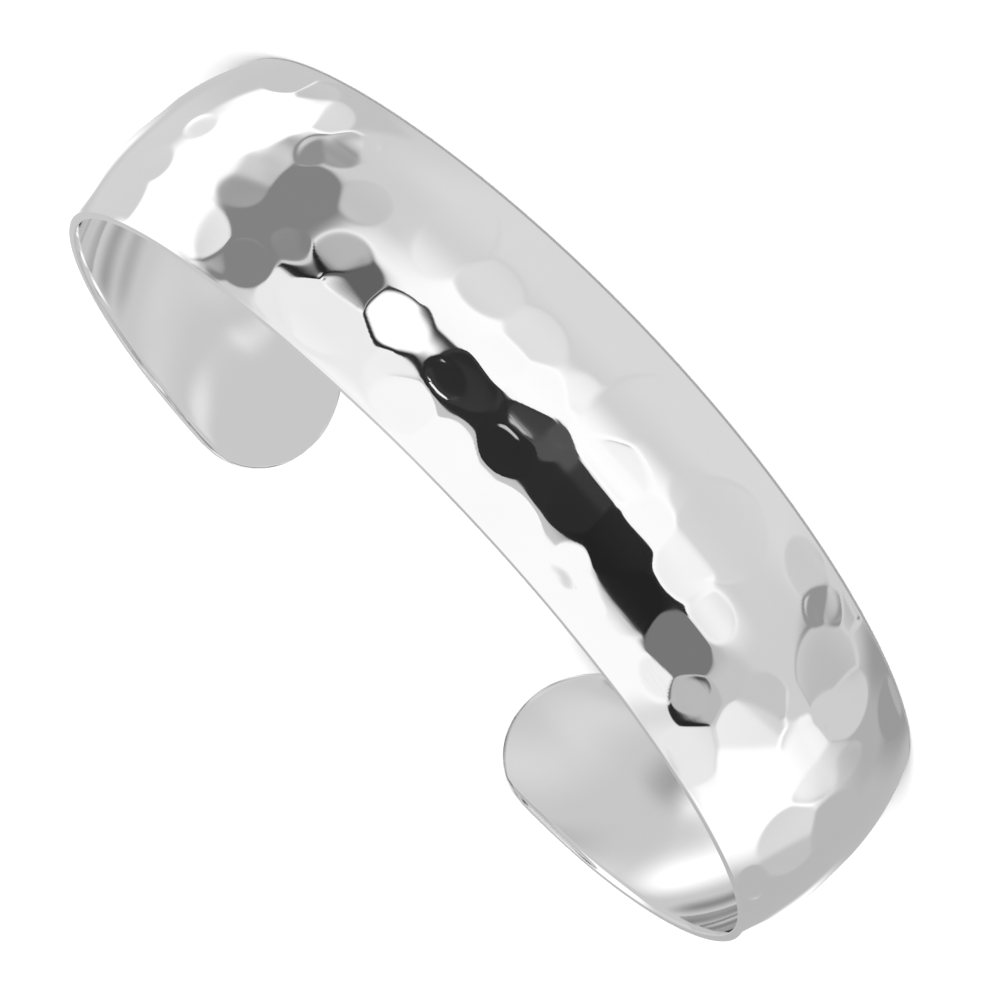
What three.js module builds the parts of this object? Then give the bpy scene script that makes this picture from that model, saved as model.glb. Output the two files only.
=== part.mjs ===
// Open cuff bangle: one curved strip of polished sheet, domed across its width,
// bent round a wrist and left open at the back, with rounded ends and a field of
// round hammer marks over the outside. Millimetres, +Z up. It lies on its side:
// the lower rim is the plane z = 0, the closed front faces -Y, the gap faces +Y.
import * as THREE from 'three';

// ---------------------------------------------------------------- main sizes
const BAND_WIDTH = 14.5;      // rim to rim, along Z
const SHEET = 0.5;            // wall thickness, measured square to the wall
const DOME_RISE = 1.4;        // how far the middle of the band stands out past the rims
const DOME_POWER = 2.32;      // 2 is a parabola, more is flatter in the middle
const END_RISE = 0.6;         // and at the two ends, which are flatter
const FLATTEN_FROM = 46;      // it starts to flatten this far from the front
const FLATTEN_OVER = 14;      // and has flattened over this length
const ARM_PLUS_X = 75.07;     // length of strip from the front to the tip on the +X side
const ARM_MINUS_X = 76.59;    // and on the -X side
const END_ROUND = 5.59;       // length over which each end is rounded off
const END_POWER = 2.14;       // 2 is an ellipse, more is squarer
const TAPER = 0.28;           // share of the width lost towards each tip
const TAPER_LENGTH = 29.3;    // over this last stretch of each arm

// How sharply the strip is bent, in degrees of turn per mm, at stations along
// each arm counted from the front: an easy curve in front, the tight turns at
// the two sides, and an easy curve again towards the ends.
const BEND = [
  { at: 0.000, plusX: 1.790, minusX: 1.816 },
  { at: 13.333, plusX: 1.644, minusX: 1.806 },
  { at: 26.667, plusX: 2.036, minusX: 1.996 },
  { at: 40.000, plusX: 3.386, minusX: 2.840 },
  { at: 53.333, plusX: 1.910, minusX: 1.710 },
  { at: 66.667, plusX: 1.581, minusX: 1.549 },
  { at: 80.000, plusX: 1.918, minusX: 1.915 },
];

// ------------------------------------------------------------- hammer marks
// Each blow leaves a shallow, nearly flat oval, and two that overlap meet in a
// soft ridge. "along" is measured on the strip from the front, + towards the +X
// arm, and "up" from the middle line of the band. "long" and "tall" are half the
// mark's length and height. "leanAlong" and "leanUp" are the tilt of its floor,
// mm per mm, and "wall" is the share of its depth that is a steep wall round a
// flat floor.
const MARK_COLUMNS = ['along', 'up', 'long', 'tall', 'leanAlong', 'leanUp', 'wall'];
const MARKS = [
  [-30.56, 6.29, 2.10, 0.89, 0.018, 0.000, 0.27],
  [-30.55, 4.00, 2.26, 1.81, -0.056, 0.030, 0.00],
  [-29.78, -0.03, 1.95, 2.41, 0.005, -0.025, 0.00],
  [-27.71, 3.97, 2.69, 2.07, 0.030, 0.036, 0.00],
  [-26.80, -1.26, 1.34, 1.80, -0.029, 0.004, 0.30],
  [-26.78, -6.56, 2.46, 1.75, 0.023, 0.002, 0.00],
  [-25.25, 0.68, 1.81, 1.81, 0.011, -0.001, 0.25],
  [-25.19, 6.09, 1.36, 1.34, -0.002, -0.000, 0.10],
  [-24.96, -1.20, 1.57, 2.05, 0.031, -0.034, 0.02],
  [-23.53, -3.31, 2.35, 2.07, -0.041, -0.003, 0.17],
  [-22.56, 2.35, 2.09, 2.37, 0.026, 0.029, 0.00],
  [-22.44, -0.09, 1.14, 1.55, -0.046, -0.035, 0.21],
  [-22.40, -2.16, 2.14, 1.39, -0.023, 0.047, 0.27],
  [-21.73, 3.76, 2.81, 1.96, -0.033, 0.028, 0.00],
  [-20.31, -4.15, 2.86, 2.30, -0.012, -0.045, 0.02],
  [-19.88, -0.70, 1.06, 1.16, 0.003, 0.004, 0.19],
  [-19.77, 1.89, 2.37, 1.54, -0.021, -0.007, 0.00],
  [-18.72, 3.52, 2.73, 1.85, 0.033, 0.047, 0.00],
  [-18.41, -6.13, 0.80, 2.41, 0.044, 0.062, 0.00],
  [-18.31, 7.74, 2.41, 0.91, -0.001, -0.017, 0.50],
  [-17.27, -5.64, 1.27, 1.08, 0.018, -0.011, 0.47],
  [-17.19, 1.41, 1.73, 1.45, 0.042, 0.007, 0.00],
  [-17.14, 6.46, 1.87, 1.76, 0.031, 0.013, 0.00],
  [-16.91, -5.05, 1.34, 1.16, -0.025, -0.014, 0.37],
  [-15.72, 4.42, 1.62, 1.41, -0.013, 0.006, 0.08],
  [-14.91, 4.13, 1.60, 1.17, -0.006, -0.011, 0.42],
  [-14.81, -5.37, 1.91, 1.44, -0.019, 0.020, 0.00],
  [-14.79, 4.63, 1.21, 1.13, 0.036, 0.020, 0.27],
  [-13.51, 5.49, 1.42, 0.96, -0.027, 0.033, 0.00],
  [-12.56, 0.84, 1.70, 1.17, -0.020, 0.008, 0.00],
  [-12.55, 3.25, 2.18, 1.55, -0.015, -0.001, 0.03],
  [-9.93, -1.65, 2.58, 2.40, -0.035, 0.052, 0.00],
  [-9.34, 6.49, 1.75, 0.85, 0.004, 0.002, 0.07],
  [-9.16, 0.21, 2.12, 1.57, -0.009, -0.008, 0.00],
  [-8.68, 3.11, 1.54, 1.59, -0.018, -0.035, 0.00],
  [-8.10, -1.40, 1.48, 1.51, 0.034, -0.046, 0.01],
  [-6.97, 5.08, 1.39, 1.46, 0.002, -0.029, 0.00],
  [-6.79, 3.90, 1.35, 1.50, 0.036, -0.006, 0.15],
  [-6.46, 5.29, 1.05, 0.70, 0.048, -0.068, 0.18],
  [-6.08, 0.24, 1.68, 1.46, -0.013, -0.012, 0.12],
  [-5.93, -2.68, 1.52, 1.37, 0.023, 0.001, 0.00],
  [-5.17, 2.41, 1.87, 1.79, 0.025, 0.009, 0.04],
  [-5.14, 5.31, 1.11, 1.31, -0.020, 0.003, 0.06],
  [-4.99, 6.06, 1.06, 0.82, -0.003, 0.120, 0.31],
  [-4.59, 5.19, 1.03, 1.13, 0.011, 0.004, 0.63],
  [-2.52, -0.14, 2.41, 1.54, -0.001, 0.013, 0.00],
  [-1.58, -1.69, 1.42, 2.56, -0.048, 0.022, 0.00],
  [-1.29, 2.48, 1.78, 1.83, 0.034, 0.007, 0.00],
  [-0.92, 5.82, 2.00, 1.28, -0.012, -0.002, 0.01],
  [-0.62, 2.94, 1.29, 1.65, 0.017, 0.012, 0.09],
  [0.39, 2.36, 1.01, 1.32, -0.033, 0.020, 0.13],
  [1.11, 1.58, 1.56, 1.06, -0.030, -0.000, 0.00],
  [1.59, -2.24, 1.22, 1.12, 0.007, -0.022, 0.02],
  [1.84, 3.02, 0.90, 0.71, 0.051, 0.032, 0.70],
  [2.34, 3.62, 1.58, 1.18, 0.018, 0.019, 0.47],
  [3.86, -0.08, 1.69, 1.24, 0.021, 0.006, 0.00],
  [3.91, 5.62, 1.71, 1.75, -0.018, -0.011, 0.09],
  [4.92, -2.19, 1.99, 1.56, -0.016, 0.001, 0.00],
  [5.30, 3.15, 1.31, 0.77, -0.056, 0.030, 0.06],
  [5.99, 2.51, 1.93, 1.39, -0.005, 0.008, 0.16],
  [6.39, 0.01, 1.51, 1.28, 0.036, -0.019, 0.07],
  [6.79, 3.09, 1.48, 1.02, -0.004, 0.018, 0.58],
  [7.19, 5.77, 2.09, 1.40, -0.025, 0.014, 0.00],
  [8.06, -2.43, 2.02, 1.53, -0.035, -0.000, 0.00],
  [9.64, 1.95, 0.83, 1.15, -0.039, -0.017, 0.05],
  [9.70, 5.55, 1.51, 1.51, 0.016, 0.017, 0.00],
  [11.06, 2.61, 2.07, 1.47, -0.005, -0.001, 0.00],
  [12.80, -1.62, 1.61, 2.60, 0.019, 0.026, 0.00],
  [12.95, 4.24, 1.75, 1.52, -0.007, -0.034, 0.01],
  [14.22, 3.78, 1.77, 1.86, -0.027, -0.006, 0.33],
  [14.24, 3.22, 1.64, 1.38, -0.014, 0.030, 0.00],
  [14.83, 2.88, 0.95, 1.68, -0.034, 0.012, 0.44],
  [15.96, 1.57, 1.88, 1.65, -0.003, -0.021, 0.00],
  [16.37, 5.45, 2.83, 1.54, 0.054, 0.038, 0.00],
  [16.64, 5.74, 2.12, 1.18, -0.004, -0.032, 0.00],
  [17.04, 3.99, 0.91, 0.92, -0.012, 0.027, 0.14],
  [17.32, -1.00, 1.67, 1.38, -0.012, 0.025, 0.01],
  [17.99, 3.41, 1.03, 1.64, 0.040, -0.027, 0.00],
  [18.78, 3.32, 1.81, 0.82, 0.000, 0.001, 0.03],
  [19.33, 3.05, 1.40, 0.85, 0.018, 0.006, 0.21],
  [20.35, 0.15, 2.05, 1.72, -0.014, 0.002, 0.01],
  [20.60, 5.28, 1.83, 1.36, 0.000, -0.009, 0.35],
  [20.72, -3.39, 0.96, 1.37, 0.001, 0.014, 0.13],
  [21.11, -3.16, 1.52, 1.42, -0.025, 0.008, 0.12],
  [21.13, 1.44, 1.15, 1.20, 0.002, 0.001, 0.21],
  [21.31, -2.39, 1.50, 0.88, -0.017, 0.061, 0.02],
  [22.48, -2.25, 1.17, 1.18, -0.029, -0.007, 0.38],
  [22.48, 5.83, 1.20, 1.03, 0.039, -0.014, 0.10],
  [23.67, -0.19, 1.39, 2.60, -0.022, -0.006, 0.00],
  [23.68, 4.83, 2.30, 1.38, -0.041, -0.058, 0.02],
  [23.69, 2.21, 1.86, 1.39, -0.022, 0.011, 0.00],
  [24.16, -4.51, 2.02, 1.40, -0.015, 0.012, 0.00],
  [24.30, 0.39, 1.60, 1.74, -0.010, -0.027, 0.01],
  [24.44, 1.54, 1.49, 1.22, 0.005, 0.028, 0.00],
  [25.27, 0.01, 0.85, 1.04, 0.014, 0.007, 0.32],
  [25.78, 2.12, 1.25, 1.37, 0.016, 0.017, 0.00],
  [26.41, -1.56, 1.13, 1.28, 0.015, -0.001, 0.00],
  [26.46, 5.31, 2.51, 1.71, 0.036, -0.019, 0.00],
  [27.01, -3.96, 1.56, 1.85, 0.058, -0.002, 0.06],
  [27.20, -5.89, 1.66, 1.11, 0.017, -0.019, 0.01],
  [29.74, -5.40, 2.01, 1.38, -0.002, 0.020, 0.00],
  [30.78, 0.10, 1.29, 1.02, -0.028, 0.010, 0.16],
  [31.91, 3.42, 2.06, 1.44, -0.022, -0.001, 0.00],
  [32.01, 5.96, 1.94, 2.06, -0.023, -0.001, 0.00],
].map((row) => Object.fromEntries(row.map((value, k) => [MARK_COLUMNS[k], value])));
const FLATNESS = 0.004;       // how much hollower than flat a mark is, per mm
const RIDGE_SOFT = 0.0045;     // rounding of the ridges between marks
const RIM_FADE = 0.5;         // the marks fade out over this much next to each rim
const END_FADE = 3.0;         // and over this much next to the rounded ends
const FAR_WALL = 2.7;         // a mark's floor turns up steeply past this, squared

// Round the arms, past the listed field, the marks carry on in staggered rows,
// each a little out of place and of its own size.
const ARM_MARK_START = 40.2;
const ARM_MARK_PITCH = 3.1;
const ARM_MARK_ROWS = [-5.7, -2.85, 0.0, 2.85, 5.7];
const ARM_MARK_WOBBLE = 0.75;

// --------------------------------------------------------------- mesh counts
const FIELD_END = 34;         // the hammered field reaches this far from the front
const FIELD_STATIONS = 32;    // rings of points on each side within the field
const ARM_STATIONS = 30;      // and from there to each tip
const ROWS_ACROSS = 18;

// Cubic spline through the stations, level at the front and free at the tip.
function splineThrough(rows, key) {
  const n = rows.length;
  const x = rows.map((row) => row.at);
  const y = rows.map((row) => row[key]);
  const a = new Array(n).fill(0), b = new Array(n).fill(1);
  const c = new Array(n).fill(0), d = new Array(n).fill(0);
  b[0] = (x[1] - x[0]) / 3;
  c[0] = (x[1] - x[0]) / 6;
  d[0] = (y[1] - y[0]) / (x[1] - x[0]);
  for (let i = 1; i < n - 1; i++) {
    a[i] = (x[i] - x[i - 1]) / 6;
    b[i] = (x[i + 1] - x[i - 1]) / 3;
    c[i] = (x[i + 1] - x[i]) / 6;
    d[i] = (y[i + 1] - y[i]) / (x[i + 1] - x[i]) - (y[i] - y[i - 1]) / (x[i] - x[i - 1]);
  }
  for (let i = 1; i < n; i++) {
    const w = a[i] / b[i - 1];
    b[i] -= w * c[i - 1];
    d[i] -= w * d[i - 1];
  }
  const m = new Array(n).fill(0);
  m[n - 1] = d[n - 1] / b[n - 1];
  for (let i = n - 2; i >= 0; i--) m[i] = (d[i] - c[i] * m[i + 1]) / b[i];
  return (t) => {
    let i = 0;
    while (i < n - 2 && t > x[i + 1]) i++;
    const h = x[i + 1] - x[i];
    const p = (x[i + 1] - t) / h, q = (t - x[i]) / h;
    return p * y[i] + q * y[i + 1] + ((p ** 3 - p) * m[i] + (q ** 3 - q) * m[i + 1]) * h * h / 6;
  };
}

// Middle line of one arm seen from above, walked from the front in small steps.
function walkArm(side, length) {
  const bend = splineThrough(BEND, side > 0 ? 'plusX' : 'minusX');
  const step = 0.1;
  const points = [{ x: 0, y: 0, turn: 0 }];
  for (let s = 0; s < length; s += step) {
    const last = points[points.length - 1];
    const turn = last.turn + THREE.MathUtils.degToRad(bend(s + step / 2)) * step;
    const mid = (last.turn + turn) / 2;
    points.push({ x: last.x + Math.cos(mid) * step, y: last.y + Math.sin(mid) * step, turn });
  }
  return (s) => {
    const f = Math.min(s / step, points.length - 1.001);
    const i = Math.floor(f), u = f - i, p = points[i], q = points[i + 1];
    const turn = p.turn + (q.turn - p.turn) * u;
    return {
      x: side * (p.x + (q.x - p.x) * u),
      y: p.y + (q.y - p.y) * u,
      outX: side * Math.sin(turn),
      outY: -Math.cos(turn),
    };
  };
}

// Height of the dome over the rims, and its slope, at s from the front and a
// height z over the middle line.
function dome(s, z) {
  const flat = THREE.MathUtils.smoothstep(s, FLATTEN_FROM, FLATTEN_FROM + FLATTEN_OVER);
  const top = DOME_RISE + (END_RISE - DOME_RISE) * flat;
  const q = Math.min(Math.abs(z) / (BAND_WIDTH / 2), 1);
  return {
    rise: top * (1 - q ** DOME_POWER),
    slope: -Math.sign(z) * top * DOME_POWER * q ** (DOME_POWER - 1) / (BAND_WIDTH / 2),
  };
}

const bendRate = {
  plus: splineThrough(BEND, 'plusX'),
  minus: splineThrough(BEND, 'minusX'),
};

// How deep a blow goes: enough to flatten the bend of the strip under it.
function markDepth(mark) {
  const rate = (mark.along >= 0 ? bendRate.plus : bendRate.minus)(Math.abs(mark.along));
  return 0.5 * (THREE.MathUtils.degToRad(rate) + FLATNESS) * mark.long ** 2 / (1 - mark.wall);
}

// How far along the strip a point is from the tip of its arm.
function toTip(along) {
  return (along >= 0 ? ARM_PLUS_X : ARM_MINUS_X) - Math.abs(along);
}

// Half the height of the band, less towards the tips.
function halfWidth(along) {
  const near = THREE.MathUtils.clamp(1 - toTip(along) / TAPER_LENGTH, 0, 1);
  return BAND_WIDTH / 2 * (1 - TAPER * near * near);
}

// The marks round the two arms, worked out rather than listed. Three sequences
// that never repeat, each spread evenly over -1..1, put them out of place.
function armMarks() {
  const marks = [];
  for (const side of [1, -1]) {
    const length = side > 0 ? ARM_PLUS_X : ARM_MINUS_X;
    const columns = Math.floor((length - END_ROUND - ARM_MARK_START) / ARM_MARK_PITCH) + 1;
    for (let i = 0; i < columns; i++) {
      ARM_MARK_ROWS.forEach((row, j) => {
        const k = marks.length + 1;
        const [p, q, r] = [0.8192, 0.6710, 0.5498].map((step) => 2 * ((k * step) % 1) - 1);
        const along = ARM_MARK_START + (i + 0.5 * (j % 2)) * ARM_MARK_PITCH + ARM_MARK_WOBBLE * p;
        const share = halfWidth(side * along) / (BAND_WIDTH / 2);
        marks.push({
          along: side * along,
          up: (row + ARM_MARK_WOBBLE * q) * share,
          long: 2.0 + 0.32 * r,
          tall: (1.75 + 0.25 * p) * share,
          leanAlong: 0.010 * q,
          leanUp: 0.010 * r,
          wall: 0.12 + 0.10 * p,
        });
      });
    }
  }
  return marks;
}

const allMarks = [...MARKS, ...armMarks()].map((mark) => ({ ...mark, depth: markDepth(mark) }));

// Metal pushed in by the hammer at a point of the outside.
function hammered(along, up) {
  let total = 1;
  for (const mark of allMarks) {
    const da = along - mark.along, du = up - mark.up;
    if (Math.abs(da) > 2 * mark.long || Math.abs(du) > 2 * mark.tall) continue;
    const r2 = (da / mark.long) ** 2 + (du / mark.tall) ** 2;
    const cut = mark.depth * ((1 - mark.wall) * r2 + mark.wall * r2 ** 3 - 1)
      + mark.leanAlong * da + mark.leanUp * du
      + 3 * mark.depth * Math.max(r2 - FAR_WALL, 0) ** 2;
    total += Math.exp(Math.min(-cut / RIDGE_SOFT, 60));
  }
  return RIDGE_SOFT * Math.log(total)
    * THREE.MathUtils.smoothstep(halfWidth(along) - Math.abs(up), 0, RIM_FADE)
    * THREE.MathUtils.smoothstep(toTip(along), END_ROUND, END_ROUND + END_FADE);
}

const arms = {
  plus: { side: 1, length: ARM_PLUS_X, line: walkArm(1, ARM_PLUS_X + 1) },
  minus: { side: -1, length: ARM_MINUS_X, line: walkArm(-1, ARM_MINUS_X + 1) },
};

// One point of the strip: i counts the stations, - towards the -X tip and +
// towards the +X tip, v runs -1..1 from the lower to the upper rim. The outside
// carries the hammer marks, the inside is one sheet thickness in from the plain
// dome.
function stripPoint(i, v, inside) {
  const arm = i >= 0 ? arms.plus : arms.minus;
  const reach = arm.length - END_ROUND + END_ROUND * (1 - Math.abs(v) ** END_POWER) ** (1 / END_POWER);
  const k = Math.abs(i);
  const s = k <= FIELD_STATIONS
    ? FIELD_END * k / FIELD_STATIONS
    : FIELD_END + (reach - FIELD_END) * (k - FIELD_STATIONS) / ARM_STATIONS;
  const near = THREE.MathUtils.clamp((s - (arm.length - TAPER_LENGTH)) / TAPER_LENGTH, 0, 1);
  const z = v * (BAND_WIDTH / 2) * (1 - TAPER * near * near);
  const { rise, slope } = dome(s, z);
  const out = inside
    ? rise - SHEET * Math.hypot(1, slope)
    : rise - hammered(arm.side * s, z);
  const at = arm.line(s);
  return new THREE.Vector3(at.x + at.outX * out, at.y + at.outY * out, z + BAND_WIDTH / 2);
}

// The closed skin of the strip: outside, inside, the two flat rims and the two ends.
function cuffGeometry() {
  const perArm = FIELD_STATIONS + ARM_STATIONS;
  const nu = 2 * perArm + 1, nv = ROWS_ACROSS + 1;
  const positions = [], index = [];
  for (const inside of [false, true]) {
    for (let i = 0; i < nu; i++) {
      for (let j = 0; j < nv; j++) {
        const v = Math.sin((-1 + 2 * j / (nv - 1)) * Math.PI / 2 * 0.9) / Math.sin(Math.PI / 2 * 0.9);
        positions.push(...stripPoint(i - perArm, v, inside).toArray());
      }
    }
  }
  const outer = (i, j) => i * nv + j;
  const inner = (i, j) => nu * nv + i * nv + j;
  const quad = (a, b, c, d) => index.push(a, b, c, a, c, d);
  for (let i = 0; i < nu - 1; i++) {
    for (let j = 0; j < nv - 1; j++) {
      quad(outer(i, j), outer(i + 1, j), outer(i + 1, j + 1), outer(i, j + 1));
      quad(inner(i, j), inner(i, j + 1), inner(i + 1, j + 1), inner(i + 1, j));
    }
    quad(outer(i, 0), inner(i, 0), inner(i + 1, 0), outer(i + 1, 0));
    quad(outer(i, nv - 1), outer(i + 1, nv - 1), inner(i + 1, nv - 1), inner(i, nv - 1));
  }
  for (let j = 0; j < nv - 1; j++) {
    quad(outer(0, j), outer(0, j + 1), inner(0, j + 1), inner(0, j));
    quad(outer(nu - 1, j), inner(nu - 1, j), inner(nu - 1, j + 1), outer(nu - 1, j + 1));
  }
  const geometry = new THREE.BufferGeometry();
  geometry.setAttribute('position', new THREE.Float32BufferAttribute(positions, 3));
  geometry.setIndex(index);
  // The middle of the outline seen from above becomes the origin.
  geometry.computeBoundingBox();
  const box = geometry.boundingBox;
  geometry.translate(-(box.min.x + box.max.x) / 2, -(box.min.y + box.max.y) / 2, 0);
  geometry.computeVertexNormals();
  return geometry;
}

const cuff = new THREE.Mesh(
  cuffGeometry(),
  new THREE.MeshStandardMaterial({ color: 0xe4e4e6, roughness: 0.05, metalness: 1.0 }),
);
cuff.name = 'cuff';

const bangle = new THREE.Group();
bangle.name = 'bangle';
bangle.add(cuff);

export default bangle;
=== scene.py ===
# Hammered cuff bangle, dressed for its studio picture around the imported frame.
import math

import bpy
import numpy as np
from mathutils import Matrix, Vector


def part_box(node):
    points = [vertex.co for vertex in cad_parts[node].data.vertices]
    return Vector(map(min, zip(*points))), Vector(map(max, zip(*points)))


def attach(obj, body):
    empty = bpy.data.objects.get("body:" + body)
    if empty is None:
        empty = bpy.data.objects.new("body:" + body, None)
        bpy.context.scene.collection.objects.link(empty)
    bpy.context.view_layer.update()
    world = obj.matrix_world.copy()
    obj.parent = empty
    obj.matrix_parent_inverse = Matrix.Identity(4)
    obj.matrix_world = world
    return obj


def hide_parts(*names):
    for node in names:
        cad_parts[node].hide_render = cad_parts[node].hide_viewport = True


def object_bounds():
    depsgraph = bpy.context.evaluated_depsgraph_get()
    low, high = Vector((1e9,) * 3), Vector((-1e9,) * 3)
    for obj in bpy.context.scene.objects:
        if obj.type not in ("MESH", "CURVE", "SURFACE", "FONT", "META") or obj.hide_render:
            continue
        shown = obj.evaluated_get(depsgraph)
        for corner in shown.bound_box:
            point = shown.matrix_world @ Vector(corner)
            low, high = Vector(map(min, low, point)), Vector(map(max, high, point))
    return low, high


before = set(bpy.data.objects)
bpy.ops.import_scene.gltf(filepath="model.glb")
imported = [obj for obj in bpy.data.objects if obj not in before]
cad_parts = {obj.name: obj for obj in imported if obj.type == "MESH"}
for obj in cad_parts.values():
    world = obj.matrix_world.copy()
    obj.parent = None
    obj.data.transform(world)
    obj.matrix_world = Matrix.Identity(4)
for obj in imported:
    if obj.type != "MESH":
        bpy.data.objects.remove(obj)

CAD_BOX = [list(map(float, corner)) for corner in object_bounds()]
MM = 0.001

# ------------------------------------------------------------ sizes, millimetres
BAND_WIDTH = 14.5
SHEET = 0.5
DOME_RISE = 1.4
DOME_POWER = 2.32
END_RISE = 0.6               # the dome is flatter at the two ends
FLATTEN_FROM = 46.0
FLATTEN_OVER = 14.0
ARM_PLUS_X = 75.07
ARM_MINUS_X = 76.59
END_ROUND = 5.59
END_POWER = 2.14
TAPER = 0.28
TAPER_LENGTH = 29.3
EDGE_ROUND = 0.07            # the softened corners of the rims and ends
BEND_STEP = 40.0 / 3.0
BEND_PLUS_X = [1.790, 1.644, 2.036, 3.386, 1.910, 1.581, 1.918]     # deg of turn per mm
BEND_MINUS_X = [1.816, 1.806, 1.996, 2.840, 1.710, 1.549, 1.915]

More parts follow.
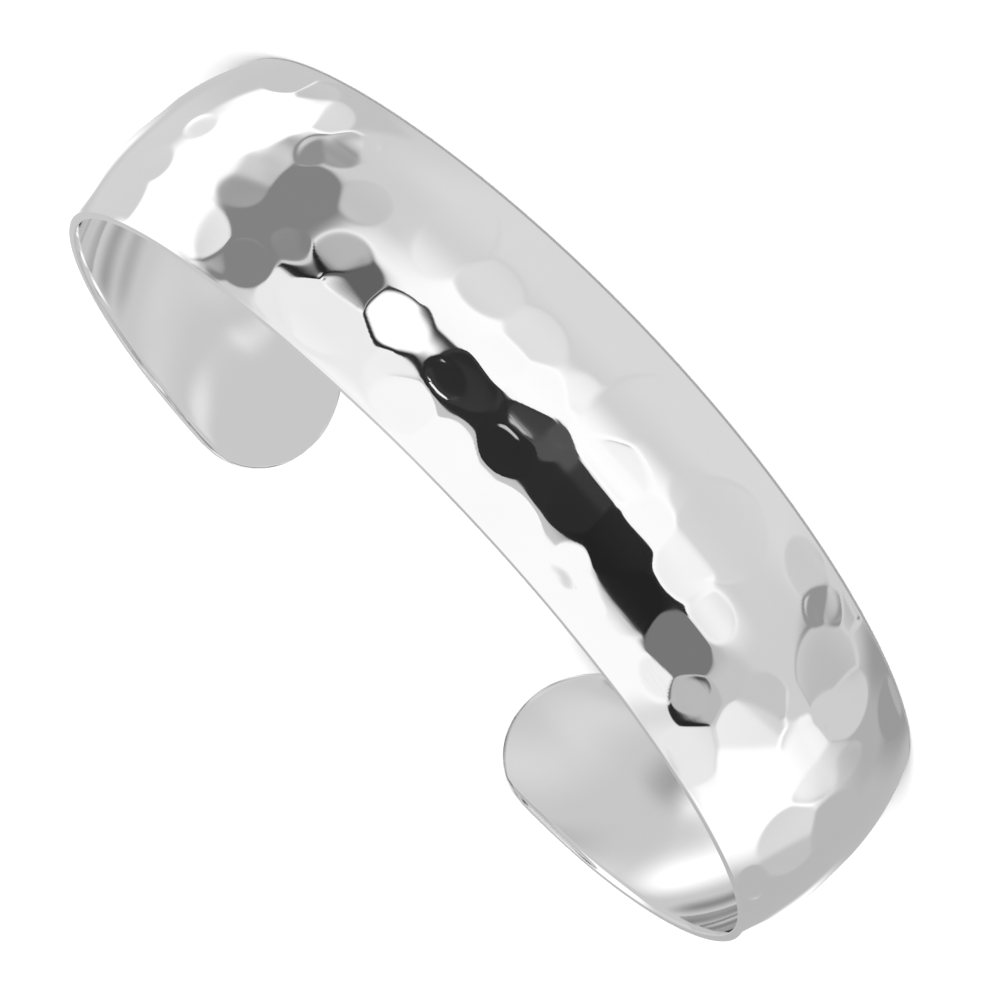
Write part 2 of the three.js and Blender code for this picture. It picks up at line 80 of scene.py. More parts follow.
# Hammer marks: where each blow fell (along the strip from the front, and up
# from its middle line), half its length and height, how far it leans each way,
# and what share of its hollow is a steep wall round a flat floor.
#        along    up  long  tall  lean_along lean_up wall
MARKS = [
    (-30.56, 6.29, 2.10, 0.89, 0.018, 0.000, 0.27),
    (-30.55, 4.00, 2.26, 1.81, -0.056, 0.030, 0.00),
    (-29.78, -0.03, 1.95, 2.41, 0.005, -0.025, 0.00),
    (-27.71, 3.97, 2.69, 2.07, 0.030, 0.036, 0.00),
    (-26.80, -1.26, 1.34, 1.80, -0.029, 0.004, 0.30),
    (-26.78, -6.56, 2.46, 1.75, 0.023, 0.002, 0.00),
    (-25.25, 0.68, 1.81, 1.81, 0.011, -0.001, 0.25),
    (-25.19, 6.09, 1.36, 1.34, -0.002, -0.000, 0.10),
    (-24.96, -1.20, 1.57, 2.05, 0.031, -0.034, 0.02),
    (-23.53, -3.31, 2.35, 2.07, -0.041, -0.003, 0.17),
    (-22.56, 2.35, 2.09, 2.37, 0.026, 0.029, 0.00),
    (-22.44, -0.09, 1.14, 1.55, -0.046, -0.035, 0.21),
    (-22.40, -2.16, 2.14, 1.39, -0.023, 0.047, 0.27),
    (-21.73, 3.76, 2.81, 1.96, -0.033, 0.028, 0.00),
    (-20.31, -4.15, 2.86, 2.30, -0.012, -0.045, 0.02),
    (-19.88, -0.70, 1.06, 1.16, 0.003, 0.004, 0.19),
    (-19.77, 1.89, 2.37, 1.54, -0.021, -0.007, 0.00),
    (-18.72, 3.52, 2.73, 1.85, 0.033, 0.047, 0.00),
    (-18.41, -6.13, 0.80, 2.41, 0.044, 0.062, 0.00),
    (-18.31, 7.74, 2.41, 0.91, -0.001, -0.017, 0.50),
    (-17.27, -5.64, 1.27, 1.08, 0.018, -0.011, 0.47),
    (-17.19, 1.41, 1.73, 1.45, 0.042, 0.007, 0.00),
    (-17.14, 6.46, 1.87, 1.76, 0.031, 0.013, 0.00),
    (-16.91, -5.05, 1.34, 1.16, -0.025, -0.014, 0.37),
    (-15.72, 4.42, 1.62, 1.41, -0.013, 0.006, 0.08),
    (-14.91, 4.13, 1.60, 1.17, -0.006, -0.011, 0.42),
    (-14.81, -5.37, 1.91, 1.44, -0.019, 0.020, 0.00),
    (-14.79, 4.63, 1.21, 1.13, 0.036, 0.020, 0.27),
    (-13.51, 5.49, 1.42, 0.96, -0.027, 0.033, 0.00),
    (-12.56, 0.84, 1.70, 1.17, -0.020, 0.008, 0.00),
    (-12.55, 3.25, 2.18, 1.55, -0.015, -0.001, 0.03),
    (-9.93, -1.65, 2.58, 2.40, -0.035, 0.052, 0.00),
    (-9.34, 6.49, 1.75, 0.85, 0.004, 0.002, 0.07),
    (-9.16, 0.21, 2.12, 1.57, -0.009, -0.008, 0.00),
    (-8.68, 3.11, 1.54, 1.59, -0.018, -0.035, 0.00),
    (-8.10, -1.40, 1.48, 1.51, 0.034, -0.046, 0.01),
    (-6.97, 5.08, 1.39, 1.46, 0.002, -0.029, 0.00),
    (-6.79, 3.90, 1.35, 1.50, 0.036, -0.006, 0.15),
    (-6.46, 5.29, 1.05, 0.70, 0.048, -0.068, 0.18),
    (-6.08, 0.24, 1.68, 1.46, -0.013, -0.012, 0.12),
    (-5.93, -2.68, 1.52, 1.37, 0.023, 0.001, 0.00),
    (-5.17, 2.41, 1.87, 1.79, 0.025, 0.009, 0.04),
    (-5.14, 5.31, 1.11, 1.31, -0.020, 0.003, 0.06),
    (-4.99, 6.06, 1.06, 0.82, -0.003, 0.120, 0.31),
    (-4.59, 5.19, 1.03, 1.13, 0.011, 0.004, 0.63),
    (-2.52, -0.14, 2.41, 1.54, -0.001, 0.013, 0.00),
    (-1.58, -1.69, 1.42, 2.56, -0.048, 0.022, 0.00),
    (-1.29, 2.48, 1.78, 1.83, 0.034, 0.007, 0.00),
    (-0.92, 5.82, 2.00, 1.28, -0.012, -0.002, 0.01),
    (-0.62, 2.94, 1.29, 1.65, 0.017, 0.012, 0.09),
    (0.39, 2.36, 1.01, 1.32, -0.033, 0.020, 0.13),
    (1.11, 1.58, 1.56, 1.06, -0.030, -0.000, 0.00),
    (1.59, -2.24, 1.22, 1.12, 0.007, -0.022, 0.02),
    (1.84, 3.02, 0.90, 0.71, 0.051, 0.032, 0.70),
    (2.34, 3.62, 1.58, 1.18, 0.018, 0.019, 0.47),
    (3.86, -0.08, 1.69, 1.24, 0.021, 0.006, 0.00),
    (3.91, 5.62, 1.71, 1.75, -0.018, -0.011, 0.09),
    (4.92, -2.19, 1.99, 1.56, -0.016, 0.001, 0.00),
    (5.30, 3.15, 1.31, 0.77, -0.056, 0.030, 0.06),
    (5.99, 2.51, 1.93, 1.39, -0.005, 0.008, 0.16),
    (6.39, 0.01, 1.51, 1.28, 0.036, -0.019, 0.07),
    (6.79, 3.09, 1.48, 1.02, -0.004, 0.018, 0.58),
    (7.19, 5.77, 2.09, 1.40, -0.025, 0.014, 0.00),
    (8.06, -2.43, 2.02, 1.53, -0.035, -0.000, 0.00),
    (9.64, 1.95, 0.83, 1.15, -0.039, -0.017, 0.05),
    (9.70, 5.55, 1.51, 1.51, 0.016, 0.017, 0.00),
    (11.06, 2.61, 2.07, 1.47, -0.005, -0.001, 0.00),
    (12.80, -1.62, 1.61, 2.60, 0.019, 0.026, 0.00),
    (12.95, 4.24, 1.75, 1.52, -0.007, -0.034, 0.01),
    (14.22, 3.78, 1.77, 1.86, -0.027, -0.006, 0.33),
    (14.24, 3.22, 1.64, 1.38, -0.014, 0.030, 0.00),
    (14.83, 2.88, 0.95, 1.68, -0.034, 0.012, 0.44),
    (15.96, 1.57, 1.88, 1.65, -0.003, -0.021, 0.00),
    (16.37, 5.45, 2.83, 1.54, 0.054, 0.038, 0.00),
    (16.64, 5.74, 2.12, 1.18, -0.004, -0.032, 0.00),
    (17.04, 3.99, 0.91, 0.92, -0.012, 0.027, 0.14),
    (17.32, -1.00, 1.67, 1.38, -0.012, 0.025, 0.01),
    (17.99, 3.41, 1.03, 1.64, 0.040, -0.027, 0.00),
    (18.78, 3.32, 1.81, 0.82, 0.000, 0.001, 0.03),
    (19.33, 3.05, 1.40, 0.85, 0.018, 0.006, 0.21),
    (20.35, 0.15, 2.05, 1.72, -0.014, 0.002, 0.01),
    (20.60, 5.28, 1.83, 1.36, 0.000, -0.009, 0.35),
    (20.72, -3.39, 0.96, 1.37, 0.001, 0.014, 0.13),
    (21.11, -3.16, 1.52, 1.42, -0.025, 0.008, 0.12),
    (21.13, 1.44, 1.15, 1.20, 0.002, 0.001, 0.21),
    (21.31, -2.39, 1.50, 0.88, -0.017, 0.061, 0.02),
    (22.48, -2.25, 1.17, 1.18, -0.029, -0.007, 0.38),
    (22.48, 5.83, 1.20, 1.03, 0.039, -0.014, 0.10),
    (23.67, -0.19, 1.39, 2.60, -0.022, -0.006, 0.00),
    (23.68, 4.83, 2.30, 1.38, -0.041, -0.058, 0.02),
    (23.69, 2.21, 1.86, 1.39, -0.022, 0.011, 0.00),
    (24.16, -4.51, 2.02, 1.40, -0.015, 0.012, 0.00),
    (24.30, 0.39, 1.60, 1.74, -0.010, -0.027, 0.01),
    (24.44, 1.54, 1.49, 1.22, 0.005, 0.028, 0.00),
    (25.27, 0.01, 0.85, 1.04, 0.014, 0.007, 0.32),
    (25.78, 2.12, 1.25, 1.37, 0.016, 0.017, 0.00),
    (26.41, -1.56, 1.13, 1.28, 0.015, -0.001, 0.00),
    (26.46, 5.31, 2.51, 1.71, 0.036, -0.019, 0.00),
    (27.01, -3.96, 1.56, 1.85, 0.058, -0.002, 0.06),
    (27.20, -5.89, 1.66, 1.11, 0.017, -0.019, 0.01),
    (29.74, -5.40, 2.01, 1.38, -0.002, 0.020, 0.00),
    (30.78, 0.10, 1.29, 1.02, -0.028, 0.010, 0.16),
    (31.91, 3.42, 2.06, 1.44, -0.022, -0.001, 0.00),
    (32.01, 5.96, 1.94, 2.06, -0.023, -0.001, 0.00),
]
FLATNESS = 0.004             # how much hollower than flat a mark is, per mm
RIDGE_SOFT = 0.0045          # rounding of the ridges between marks

# Round the arms, past the charted field, the marks carry on in staggered rows,
# each a little out of place and of its own size.
ARM_MARK_START = 40.2
ARM_MARK_PITCH = 3.1
ARM_MARK_ROWS = (-5.7, -2.85, 0.0, 2.85, 5.7)
ARM_MARK_WOBBLE = 0.75
RIM_FADE = 0.5               # the marks fade out over this much next to each rim
END_FADE = 3.0               # and over this much next to the rounded ends
FAR_WALL = 2.7               # a mark's floor turns up steeply past this, squared

# --------------------------------------------------------------- the strip
FIELD_END = 34.0             # the fine mesh reaches this far from the front
FIELD_PITCH = 0.155
ARM_PITCH = 0.36
ROWS = 104
INNER_SHARE = 4              # one inner row for this many outer ones


def natural_spline(values, slope_start=0.0):
    """Cubic through evenly spaced values: level at the start, free at the end."""
    n, h = len(values), BEND_STEP
    a = np.zeros((n, n))
    rhs = np.zeros(n)
    y = np.array(values)
    a[0, 0], a[0, 1] = h / 3, h / 6
    rhs[0] = (y[1] - y[0]) / h - slope_start
    for i in range(1, n - 1):
        a[i, i - 1], a[i, i], a[i, i + 1] = h / 6, 2 * h / 3, h / 6
        rhs[i] = (y[i + 1] - 2 * y[i] + y[i - 1]) / h
    a[n - 1, n - 1] = 1.0
    m = np.linalg.solve(a, rhs)

    def at(t):
        i = np.clip((t / h).astype(int), 0, n - 2)
        p = ((i + 1) * h - t) / h
        q = 1 - p
        return p * y[i] + q * y[i + 1] + ((p**3 - p) * m[i] + (q**3 - q) * m[i + 1]) * h * h / 6

    return at


class Arm:
    """Middle line of one arm seen from above, walked from the front."""

    def __init__(self, side, length, bend):
        self.side, self.length = side, length
        step = 0.1
        self.s = np.arange(0, length + 1.0, step)
        rate = np.radians(natural_spline(bend)(self.s[:-1] + step / 2))
        self.turn = np.concatenate([[0], np.cumsum(rate * step)])
        mid = (self.turn[1:] + self.turn[:-1]) / 2
        self.x = np.concatenate([[0], np.cumsum(np.cos(mid) * step)])
        self.y = np.concatenate([[0], np.cumsum(np.sin(mid) * step)])
        self.rate = np.concatenate([rate, rate[-1:]])

    def place(self, s):
        """Plan position, outward direction and forward direction at s."""
        x = self.side * np.interp(s, self.s, self.x)
        y = np.interp(s, self.s, self.y)
        turn = np.interp(s, self.s, self.turn)
        out = np.stack([self.side * np.sin(turn), -np.cos(turn)], -1)
        ahead = np.stack([self.side * np.cos(turn), np.sin(turn)], -1)
        return np.stack([x, y], -1), out, ahead


ARMS = {1: Arm(1, ARM_PLUS_X, BEND_PLUS_X), -1: Arm(-1, ARM_MINUS_X, BEND_MINUS_X)}


def dome(s, z):
    """Height of the dome over the rims at s from the front and z from the middle line."""
    flat = np.clip((s - FLATTEN_FROM) / FLATTEN_OVER, 0, 1)
    top = DOME_RISE + (END_RISE - DOME_RISE) * flat * flat * (3 - 2 * flat)
    q = np.clip(np.abs(z) / (BAND_WIDTH / 2), 0, 1)
    slope = -np.sign(z) * top * DOME_POWER * q ** (DOME_POWER - 1) / (BAND_WIDTH / 2)
    return top * (1 - q**DOME_POWER), slope


def half_width(along):
    """Half the height of the band, less towards the tips."""
    to_tip = np.where(along >= 0, ARM_PLUS_X, ARM_MINUS_X) - np.abs(along)
    near = np.clip(1 - to_tip / TAPER_LENGTH, 0, 1)
    return BAND_WIDTH / 2 * (1 - TAPER * near**2)


def arm_marks():
    """The marks round the two arms, worked out rather than charted."""
    marks = []
    for side, arm in ARMS.items():
        columns = int((arm.length - END_ROUND - ARM_MARK_START) / ARM_MARK_PITCH) + 1
        for i in range(columns):
            for j, row in enumerate(ARM_MARK_ROWS):
                k = len(marks) + 1
                # three sequences that never repeat, each spread evenly over -1..1
                p, q, r = (2 * ((k * step) % 1.0) - 1 for step in (0.8192, 0.6710, 0.5498))
                along = ARM_MARK_START + (i + 0.5 * (j % 2)) * ARM_MARK_PITCH + ARM_MARK_WOBBLE * p
                share = float(half_width(np.array(side * along))) / (BAND_WIDTH / 2)
                up = (row + ARM_MARK_WOBBLE * q) * share
                marks.append((side * along, up, 2.0 + 0.32 * r, (1.75 + 0.25 * p) * share,
                              0.010 * q, 0.010 * r, 0.12 + 0.10 * p))
    return marks


def hammered(along, up):
    """Metal pushed in at each point: flat-bottomed marks meeting in soft ridges."""
    total = np.ones(along.shape)
    for a, u, long, tall, lean_a, lean_u, wall in MARKS + arm_marks():
        da, du = along - a, up - u
        near = (np.abs(da) < 2.0 * long) & (np.abs(du) < 2.0 * tall)
        if not near.any():
            continue
        arm = ARMS[1 if a >= 0 else -1]
        depth = 0.5 * (np.interp(abs(a), arm.s, arm.rate) + FLATNESS) * long**2 / (1 - wall)
        da, du = da[near], du[near]
        r2 = (da / long) ** 2 + (du / tall) ** 2
        cut = depth * ((1 - wall) * r2 + wall * r2**3 - 1) + lean_a * da + lean_u * du
        cut += 3 * depth * np.maximum(r2 - FAR_WALL, 0) ** 2
        total[near] += np.exp(np.minimum(-cut / RIDGE_SOFT, 60))
    rim = np.clip((half_width(along) - np.abs(up)) / RIM_FADE, 0, 1)
    to_tip = np.where(along >= 0, ARM_PLUS_X, ARM_MINUS_X) - np.abs(along)
    end = np.clip((to_tip - END_ROUND) / END_FADE, 0, 1)
    return (RIDGE_SOFT * np.log(total) * rim * rim * (3 - 2 * rim)
            * end * end * (3 - 2 * end))


def stations(arm):
    field = np.arange(0, FIELD_END, FIELD_PITCH)
    rest = arm.length - FIELD_END
    n = int(rest / ARM_PITCH)
    return np.concatenate([field, FIELD_END + rest * np.arange(n + 1) / n])


def side_grid(side, rows):
    """(s, z) of the reduced outline's grid for one arm."""
    arm = ARMS[side]
    s_line = stations(arm)
    v = np.linspace(-1, 1, rows + 1)
    length = arm.length - EDGE_ROUND
    reach = length - END_ROUND + END_ROUND * (1 - np.abs(v) ** END_POWER) ** (1 / END_POWER)
    share = (s_line - FIELD_END) / (arm.length - FIELD_END)
    s = np.where(
        s_line[:, None] <= FIELD_END,
        s_line[:, None],
        FIELD_END + share[:, None] * (reach[None, :] - FIELD_END),
    )
    near = np.clip((s - (arm.length - TAPER_LENGTH)) / TAPER_LENGTH, 0, 1)
    z = v[None, :] * (BAND_WIDTH / 2 - EDGE_ROUND) * (1 - TAPER * near**2)
    return s, z


def lift(side, s, z, drop):
    """Points over the plan at height z, drop millimetres in from the dome."""
    at, out, _ = ARMS[side].place(s)
    rise, _ = dome(s, z)
    d = rise - drop
    return np.concatenate([at + out * d[..., None], (z + BAND_WIDTH / 2)[..., None]], -1)


def build_strip():
    verts, faces = [], []
    count = 0

    def add(points):
        nonlocal count
        ids = count + np.arange(points[..., 0].size).reshape(points.shape[:-1])
        verts.append(points.reshape(-1, 3))
        count += points[..., 0].size
        return ids

    def quads(a, b, c, d):
        faces.extend(np.stack([a, b, c, d], -1).reshape(-1, 4).tolist())

    # full grids, tip of the -X arm to tip of the +X arm
    s_m, z_m = side_grid(-1, ROWS)
    s_p, z_p = side_grid(1, ROWS)
    flip = lambda g: g[::-1]

    def grid(drop_of, step=1):
        minus = lift(-1, s_m[:, ::step], z_m[:, ::step], drop_of(-s_m[:, ::step], z_m[:, ::step]))
        plus = lift(1, s_p[:, ::step], z_p[:, ::step], drop_of(s_p[:, ::step], z_p[:, ::step]))
        return np.concatenate([flip(minus), plus[1:]], 0)

    def thickness(along, up):
        return SHEET * np.hypot(1, dome(np.abs(along), up)[1])

    outer = grid(hammered)
    inner = grid(thickness, INNER_SHARE)
    inner_fine = grid(thickness)      # only its border is used, to shape the edge
    o_ids, i_ids = add(outer), add(inner)
    quads(o_ids[:-1, :-1], o_ids[1:, :-1], o_ids[1:, 1:], o_ids[:-1, 1:])
    quads(i_ids[:-1, :-1], i_ids[:-1, 1:], i_ids[1:, 1:], i_ids[1:, :-1])

    # the edge all the way round: lower rim, +X end, upper rim, -X end
    nu, nv = outer.shape[:2]
    path = (
        [(i, 0) for i in range(nu)]
        + [(nu - 1, j) for j in range(1, nv)]
        + [(i, nv - 1) for i in range(nu - 2, -1, -1)]
        + [(0, j) for j in range(nv - 2, 0, -1)]
    )
    pi = np.array([p[0] for p in path])
    pj = np.array([p[1] for p in path])
    a, b = outer[pi, pj], inner_fine[pi, pj]
    # direction off the edge within the sheet
    along_edge = np.roll(a + b, -1, 0) - np.roll(a + b, 1, 0)
    through = b - a
    off = np.cross(along_edge, through)
    off /= np.linalg.norm(off, axis=1)[:, None]
    straight = (pj == 0) | (pj == nv - 1)
    tip = (pi == 0) | (pi == nu - 1)
    rim_z = np.where(pj == 0, -1.0, np.where(pj == nv - 1, 1.0, 0.0))
    only_rim = straight & ~tip
    off[only_rim] = np.stack([0 * rim_z, 0 * rim_z, rim_z], -1)[only_rim]
    mixed = straight & tip
    off[mixed] = np.stack([0 * rim_z, 0 * rim_z, rim_z], -1)[mixed]
    sign = np.sign(np.einsum("ij,ij->i", off, np.where(rim_z[:, None] != 0, np.stack([0 * rim_z, 0 * rim_z, rim_z], -1), a - outer[np.where(pi == 0, 6, nu - 7), pj])))
    off *= sign[:, None]
    corner = EDGE_ROUND / SHEET
    ring = [o_ids[pi, pj]]
    for share in (0.18 * corner, 0.55 * corner, corner, 1 - corner, 1 - 0.55 * corner, 1 - 0.18 * corner):
        t = min(share, 1 - share) / corner
        bulge = EDGE_ROUND * math.sqrt(max(0.0, 1 - (1 - t) ** 2))
        ring.append(add(a + (b - a) * share + off * bulge))
    for r, q in zip(ring[:-1], ring[1:]):
        faces.extend(np.stack([r, q, np.roll(q, -1), np.roll(r, -1)], -1).tolist())
    # stitch the last ring to the coarser inner rows
    last = ring[-1]
    inner_of = {}
    for k, (i, j) in enumerate(path):
        if j % INNER_SHARE == 0:
            inner_of[k] = int(i_ids[i, j // INNER_SHARE])
    keys = sorted(inner_of)
    n = len(path)
    for k, nxt in zip(keys, keys[1:] + [keys[0] + n]):
        p, q = inner_of[k], inner_of[nxt % n]
        run = [int(last[m % n]) for m in range(k, nxt + 1)]
        half = len(run) // 2
        for m in range(len(run) - 1):
            pivot = p if m < half else q
            faces.append([run[m], pivot, run[m + 1]])
            if m == half - 1 or (half == 0 and m == 0):
                faces.append([run[m + 1], p, q])
    return np.concatenate(verts), faces


PLAN_MID = [0.0, 0.0]         # middle of the outline, seen from above, in plan millimetres


def make_mesh():
    points, faces = build_strip()
    low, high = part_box("cuff")
    centre = (np.array(low) + np.array(high)) / 2
    box_mid = (points.min(0) + points.max(0)) / 2
    PLAN_MID[:] = box_mid[:2]
    points = (points - np.array([box_mid[0], box_mid[1], 0])) * MM
    points += np.array([centre[0], centre[1], low[2]])
    mesh = bpy.data.meshes.new("hammered_cuff")
    mesh.from_pydata(points.tolist(), [], faces)
    mesh.validate()
    mesh.shade_smooth()
    obj = bpy.data.objects.new("hammered_cuff", mesh)
    bpy.context.collection.objects.link(obj)
    return obj


cuff = make_mesh()

# ------------------------------------------------------------ polished silver
METAL = 0.92


def silver():
    mat = bpy.data.materials.new("polished_silver")
    mat.use_nodes = True
    nt = mat.node_tree
    shader = nt.nodes["Principled BSDF"]
    shader.inputs["Metallic"].default_value = 1.0
    shader.inputs["IOR"].default_value = 1.45
    coord = nt.nodes.new("ShaderNodeTexCoord")
    cloud = nt.nodes.new("ShaderNodeTexNoise")
    cloud.inputs["Scale"].default_value = 240.0
    cloud.inputs["Detail"].default_value = 3.0
    nt.links.new(coord.outputs["Object"], cloud.inputs["Vector"])
    tint = nt.nodes.new("ShaderNodeMix")
    tint.data_type = "RGBA"
    tint.inputs["A"].default_value = (METAL - 0.012, METAL - 0.012, METAL - 0.012, 1)
    tint.inputs["B"].default_value = (METAL + 0.012, METAL + 0.012, METAL + 0.012, 1)
    nt.links.new(cloud.outputs["Fac"], tint.inputs["Factor"])
    nt.links.new(tint.outputs["Result"], shader.inputs["Base Color"])
    # the buffed skin: fine lines drawn round the band, mostly gone
    stretch = nt.nodes.new("ShaderNodeMapping")
    stretch.inputs["Scale"].default_value = (900.0, 900.0, 9000.0)
    nt.links.new(coord.outputs["Object"], stretch.inputs["Vector"])
    lines = nt.nodes.new("ShaderNodeTexNoise")
    lines.inputs["Scale"].default_value = 1.0
    lines.inputs["Detail"].default_value = 2.0
    nt.links.new(stretch.outputs["Vector"], lines.inputs["Vector"])
    rough = nt.nodes.new("ShaderNodeMapRange")
    rough.inputs["From Min"].default_value = 0.3
    rough.inputs["From Max"].default_value = 0.7
    rough.inputs["To Min"].default_value = 0.035
    rough.inputs["To Max"].default_value = 0.06
    nt.links.new(cloud.outputs["Fac"], rough.inputs["Value"])
    nt.links.new(rough.outputs["Result"], shader.inputs["Roughness"])
    bump = nt.nodes.new("ShaderNodeBump")
    bump.inputs["Strength"].default_value = 0.012
    bump.inputs["Distance"].default_value = 0.00002
    nt.links.new(lines.outputs["Fac"], bump.inputs["Height"])
    nt.links.new(bump.outputs["Normal"], shader.inputs["Normal"])
    return mat


cuff.data.materials.append(silver())
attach(cuff, "root")
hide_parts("cuff")

# ------------------------------------------------------------------ the studio
# What the polished metal sees: a white tent with grey and black cards round it.
# Angles in degrees from straight in front (-Y) and up from level; "shade" is how
# bright the card looks in the metal, 0 to 255 and over for bare light.
#   from   to  low high soft_h soft_v shade
CARDS = [
    (-180, 180, -90, 90, 1, 1, 205),
    (-200.2, -110.9, -60.0, 40.1, 9.9, 7.9, 182),
    (120.8, 200.1, -59.9, 60.0, 7.9, 8.0, 198),
    (-148.7, -103.8, -46.8, -25.5, 9.2, 4.8, 153),
    (-58.4, 60.1, -89.9, -20.5, 10.0, 5.2, 208),
    (-77.7, 79.6, -90.0, -37.7, 15.4, 7.4, 215),
    (-37.9, 47.5, -26.2, 60.4, 9.1, 5.2, 254),
    (-57.2, 61.5, -16.3, 60.3, 5.7, 4.5, 250),
    (-109.0, -76.4, -13.9, 20.5, 6.5, 4.1, 260),
    (86.3, 123.5, -34.7, 20.8, 2.1, 3.1, 263),
    (-67.5, -49.0, -12.2, 9.2, 3.2, 3.2, 184),
    (-80.5, -61.5, 10.9, 40.5, 6.5, 5.2, 233),
    (32.5, 67.4, 8.7, 27.6, 7.9, 4.2, 235),
    (-15.8, 32.7, 9.1, 15.8, 1.6, 0.5, 196),
    (-47.2, 47.4, -10.1, 9.7, 0.8, 0.5, 44),
    (-9.3, 6.0, -15.0, -5.5, 2.6, 0.5, 81),
    (-56.4, -41.8, -5.9, 12.1, 1.9, 1.6, 118),
    (-68.7, -59.1, 7.7, 14.3, 1.5, 1.1, 37),
    (47.2, 58.2, -11.4, 3.1, 4.0, 3.3, 97),
    (55.2, 62.8, -5.6, 9.3, 1.3, 0.6, 32),
    (64.4, 89.0, -20.2, 17.5, 3.5, 4.0, 130),
    (29.3, 42.9, -6.2, 2.3, 2.5, 3.4, 262),
    (60.4, 65.1, -5.3, 5.1, 0.9, 1.8, 207),
    (150.4, 172.1, -13.8, -5.6, 4.3, 2.3, 261),
    (-172.3, -151.5, -13.2, -7.4, 4.3, 1.8, 261),
    (-4.3, 32.0, -1.0, 5.6, 3.9, 2.3, 43),
    (-42.0, -11.8, -5.9, 9.5, 3.8, 4.9, 34),
    (1.2, 12.7, 3.8, 10.1, 1.5, 1.6, 42),
    (14.4, 28.7, -8.1, -3.2, 1.6, 1.8, 55),
    (-123.6, -98.9, -35.0, -19.5, 4.5, 4.1, 174),
    (-85.1, -72.1, -45.8, -27.7, 3.7, 4.2, 147),
    (82.2, 91.5, -30.5, -18.3, 3.6, 2.2, 142),
    (-74.9, -58.1, -13.2, 0.4, 2.4, 2.2, 195),
    (91.9, 122.4, -47.0, -33.8, 2.9, 2.8, 193),
    (118.7, 144.4, -18.8, 8.5, 5.0, 5.2, 209),
]


def light_of(shade):
    """How bright a card must be to look this shade in the metal."""
    c = shade / 255
    linear = ((c + 0.055) / 1.055) ** 2.4 if c > 0.04045 else c / 12.92
    return linear / METAL


ROOM = 0.5                   # the tent's light on the floor, where the metal isn't looking


def build_world():
    world = bpy.data.worlds.new("studio")
    bpy.context.scene.world = world
    world.use_nodes = True
    nt = world.node_tree
    nt.nodes.clear()
    new, link = nt.nodes.new, nt.links.new

    def math_node(op, a, b=None, c=None):
        node = new("ShaderNodeMath")
        node.operation = op
        for k, value in enumerate((a, b, c)):
            if value is None:
                continue
            if isinstance(value, (int, float)):
                node.inputs[k].default_value = value
            else:
                link(value, node.inputs[k])
        return node.outputs[0]

    coord = new("ShaderNodeTexCoord")
    split = new("ShaderNodeSeparateXYZ")
    link(coord.outputs["Generated"], split.inputs[0])
    x, y, z = split.outputs
    az = math_node("DEGREES", math_node("ARCTAN2", x, math_node("MULTIPLY", y, -1.0)))
    el = math_node("DEGREES", math_node("ARCSINE", z))

    def step(value, at, soft, rising):
        node = new("ShaderNodeMapRange")
        node.interpolation_type = "SMOOTHSTEP"
        node.inputs["From Min"].default_value = at - soft
        node.inputs["From Max"].default_value = at + soft
        node.inputs["To Min"].default_value = 0.0 if rising else 1.0
        node.inputs["To Max"].default_value = 1.0 if rising else 0.0
        link(value, node.inputs["Value"])
        return node.outputs["Result"]

    level = None
    for az0, az1, el0, el1, soft_h, soft_v, shade in CARDS:
        if level is None:
            level = light_of(shade)
            continue
        mask = math_node(
            "MULTIPLY",
            math_node("MULTIPLY", step(az, az0, soft_h, True), step(az, az1, soft_h, False)),
            math_node("MULTIPLY", step(el, el0, soft_v, True), step(el, el1, soft_v, False)),
        )
        # level + mask * (shade - level)
        gap = math_node("SUBTRACT", light_of(shade), level)
        level = math_node("MULTIPLY_ADD", mask, gap, level)
    # the tent as the metal sees it, and the plain pale room for everything else
    path = new("ShaderNodeLightPath")
    tent, room = new("ShaderNodeBackground"), new("ShaderNodeBackground")
    link(level, tent.inputs["Strength"])
    room.inputs["Strength"].default_value = ROOM
    for node in (tent, room):
        node.inputs["Color"].default_value = (1, 1, 1, 1)
    pick = new("ShaderNodeMixShader")
    link(path.outputs["Is Glossy Ray"], pick.inputs["Fac"])
    link(room.outputs[0], pick.inputs[1])
    link(tent.outputs[0], pick.inputs[2])
    link(pick.outputs[0], new("ShaderNodeOutputWorld").inputs["Surface"])


build_world()


def floor_material(name, shade):
    mat = bpy.data.materials.new(name)
    mat.use_nodes = True
    shader = mat.node_tree.nodes["Principled BSDF"]
    shader.inputs["Base Color"].default_value = (shade, shade, shade, 1)
    shader.inputs["Roughness"].default_value = 1.0
    shader.inputs["Specular IOR Level"].default_value = 0.0
    return mat


def floor_piece(name, outline, z, mat):
    mesh = bpy.data.meshes.new(name)
    n = len(outline)
    mesh.from_pydata(
        [(x, y, 0) for x, y in outline], [], [tuple(range(n))]
    )
    floor = bpy.data.objects.new(name, mesh)
    floor.location.z = z
    bpy.context.collection.objects.link(floor)
    mesh.materials.append(mat)
    return floor


# What the hollow's walls see of the floor between them is a glowing patch with painted
# shade, as in CARDS, and soft-edged painted pools of light and shadow (millimetres from the middle).
#    x      y   half_x half_y  shade
PAINTED_LIGHT_POOLS = [
    (0.0, 0.0, 200.0, 200.0, 199),
    (-8.0, 15.5, 5.0, 3.5, 209),
    (-11.2, 10.6, 2.6, 1.9, 227),
    (13.5, 13.5, 7.0, 6.0, 214),
    (6.2, 21.2, 5.6, 3.4, 158),
    (0.8, 18.0, 4.2, 2.6, 172),
    (1.3, 24.5, 7.4, 4.2, 276),
    (-9.2, 27.2, 3.6, 2.6, 136),
]
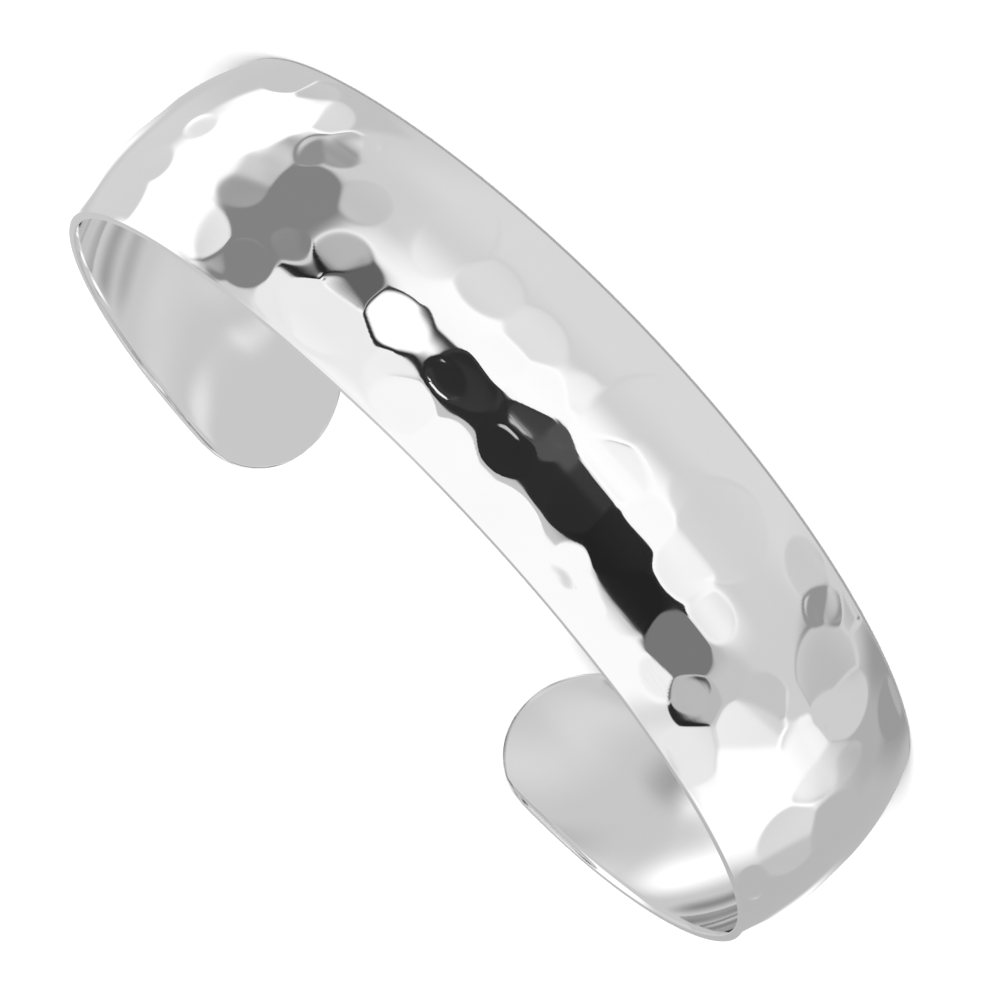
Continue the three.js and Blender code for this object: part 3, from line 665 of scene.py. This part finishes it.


# a glowing patch with painted pools of light and shadow, lit by no lamp
def painted_light_floor_material():
    mat = bpy.data.materials.new("glowing_floor_painted_shade")
    mat.use_nodes = True
    nt = mat.node_tree
    nt.nodes.clear()
    new, link = nt.nodes.new, nt.links.new
    coord = new("ShaderNodeTexCoord")
    level = None
    for x, y, half_x, half_y, shade in PAINTED_LIGHT_POOLS:
        light = light_of(shade)
        if level is None:
            level = light
            continue
        put = new("ShaderNodeMapping")
        put.inputs["Location"].default_value = (-x / half_x, -y / half_y, 0)
        put.inputs["Scale"].default_value = (1 / (half_x * MM), 1 / (half_y * MM), 0)
        link(coord.outputs["Object"], put.inputs["Vector"])
        far = new("ShaderNodeVectorMath")
        far.operation = "LENGTH"
        link(put.outputs["Vector"], far.inputs[0])
        mask = new("ShaderNodeMapRange")
        mask.interpolation_type = "SMOOTHSTEP"
        mask.inputs["From Min"].default_value = 0.0
        mask.inputs["From Max"].default_value = 1.0
        mask.inputs["To Min"].default_value = 1.0
        mask.inputs["To Max"].default_value = 0.0
        link(far.outputs["Value"], mask.inputs["Value"])
        mix = new("ShaderNodeMix")
        mix.data_type = "FLOAT"
        link(mask.outputs["Result"], mix.inputs["Factor"])
        if isinstance(level, float):
            mix.inputs["A"].default_value = level
        else:
            link(level, mix.inputs["A"])
        mix.inputs["B"].default_value = light
        level = mix.outputs["Result"]
    # the painted light and shade glow from the patch itself
    glow = new("ShaderNodeEmission")
    link(level, glow.inputs["Strength"])
    link(glow.outputs[0], new("ShaderNodeOutputMaterial").inputs["Surface"])
    return mat


def build_floor():
    mat = floor_material("pale_floor", 0.9)
    ring = [2 * math.pi * k / 96 for k in range(96)]
    wide = floor_piece("floor", [(4 * math.cos(t), 4 * math.sin(t)) for t in ring], -0.0002, mat)
    # the tent takes its place in the metal, except inside the hollow, where the
    # walls look down on a glowing patch with painted light and shadow instead of the floor
    wide.visible_glossy = False
    low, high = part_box("cuff")
    inside = []
    for side in (1, -1):
        arm = ARMS[side]
        s = np.linspace(0, arm.length - 9.0, 60)
        at, out, _ = arm.place(s)
        # along the inner wall, then out under the rounded tip
        line = np.concatenate([at - out * (SHEET + 0.1), at[-1:] + out[-1:] * 5.0]) * MM
        inside.append(line if side > 0 else line[::-1])
    shift = np.array([(low[0] + high[0]) / 2, (low[1] + high[1]) / 2]) - np.array(PLAN_MID) * MM
    beyond = np.array([[0.0200, 0.040], [-0.0200, 0.040]])
    line = np.concatenate([inside[0] + shift, beyond, inside[1][:-1] + shift])
    # glowing patch with painted light and shade, seen only in the metal
    hollow = floor_piece("glowing_floor_inside", [tuple(p) for p in line.tolist()], -0.00015, painted_light_floor_material())
    hollow.visible_camera = hollow.visible_diffuse = hollow.visible_shadow = False


build_floor()


def sun(name, az, el, softness, strength):
    data = bpy.data.lights.new(name, "SUN")
    data.angle = math.radians(softness)
    data.energy = strength
    light = bpy.data.objects.new(name, data)
    a, e = math.radians(az), math.radians(el)
    back = Vector((math.sin(a) * math.cos(e), -math.cos(a) * math.cos(e), math.sin(e)))
    light.rotation_euler = back.to_track_quat("Z", "Y").to_euler()
    light.location = back * 0.5
    bpy.context.collection.objects.link(light)
    light.visible_glossy = False
    return light


sun("key", 0, 46, 26, 3.4)

# ---------------------------------------------------------------- the camera
VIEW_AZ = 1.2039
VIEW_EL = 14.4838
VIEW_ROLL = -133.0069
VIEW_DISTANCE = 0.206354
VIEW_SCALE = 3386.5           # pixels per radian at the middle of a 1000-pixel frame
TARGET = Vector((-0.0002115, CAD_BOX[0][1] + 0.0233998, 0.00725))


def build_camera():
    a, e, r = (math.radians(v) for v in (VIEW_AZ, VIEW_EL, VIEW_ROLL))
    back = Vector((math.sin(a) * math.cos(e), -math.cos(a) * math.cos(e), math.sin(e)))
    level = Vector((math.cos(a), math.sin(a), 0))
    up = back.cross(level)
    right = math.cos(r) * level + math.sin(r) * up
    top = -math.sin(r) * level + math.cos(r) * up
    data = bpy.data.cameras.new("camera")
    data.sensor_width = 36.0
    data.lens = VIEW_SCALE * 36.0 / 1000.0
    data.shift_x = (500 - 494.771) / 1000
    data.shift_y = (502.397 - 500) / 1000
    data.clip_start = 0.01
    data.clip_end = 50
    camera = bpy.data.objects.new("camera", data)
    m = Matrix.Identity(4)
    for k, axis in enumerate((right, top, back)):
        for i in range(3):
            m[i][k] = axis[i]
    where = TARGET + back * VIEW_DISTANCE
    for i in range(3):
        m[i][3] = where[i]
    camera.matrix_world = m
    bpy.context.collection.objects.link(camera)
    bpy.context.scene.camera = camera


build_camera()
scene = bpy.context.scene
scene.view_settings.view_transform = "Standard"
scene.view_settings.look = "None"
